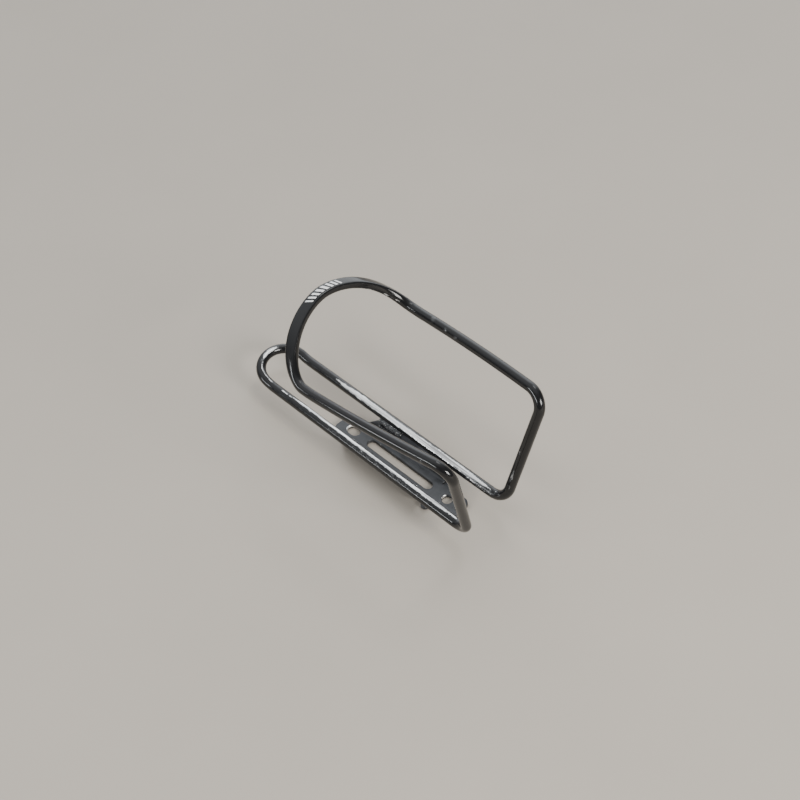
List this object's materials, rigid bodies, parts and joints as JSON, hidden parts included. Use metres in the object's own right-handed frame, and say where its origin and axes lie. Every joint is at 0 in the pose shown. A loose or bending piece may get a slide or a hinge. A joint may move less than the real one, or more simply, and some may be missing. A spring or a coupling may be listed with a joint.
{
  "type": "bicycle water bottle cage",
  "caption": "Bent-rod bicycle bottle cage in worn black paint: a rod frame with a flattened front loop, welded to a folded mounting plate that bolts to the frame tube.",
  "frame": {"origin": "midway between the two bolt holes, on the plate face that sits on the frame tube", "axes": "+Z out of the frame tube towards the bottle, +Y along the tube towards the bottle's mouth, +X to the right"},
  "size_m": [0.0736, 0.1636, 0.089],
  "materials": {
    "rod_paint": "gloss black paint over aluminium rod, chipped at the bends",
    "worn_rod_paint": "black paint rubbed through to grey metal by the bottle",
    "plate_paint": "satin black paint, dusty grey-blue sheen",
    "weld_paint": "painted weld bead, lumpy and speckled"
  },
  "bodies": {
    "root": {"upper_loop": "worn_rod_paint", "upper_bend_left": "worn_rod_paint", "upper_bend_right": "worn_rod_paint", "back_rod_left": "worn_rod_paint", "back_rod_right": "worn_rod_paint", "lower_bend_left": "worn_rod_paint", "lower_bend_right": "worn_rod_paint", "seat_rod_left": "rod_paint", "seat_rod_right": "rod_paint", "front_bend_left": "rod_paint", "front_bend_right": "rod_paint", "front_rod_left": "rod_paint", "front_rod_right": "rod_paint", "front_loop": "rod_paint", "mounting_plate": "plate_paint", "weld_upper_left": "weld_paint", "weld_upper_right": "weld_paint", "weld_lower_left": "weld_paint", "weld_lower_right": "weld_paint"}
  },
  "joints": []
}
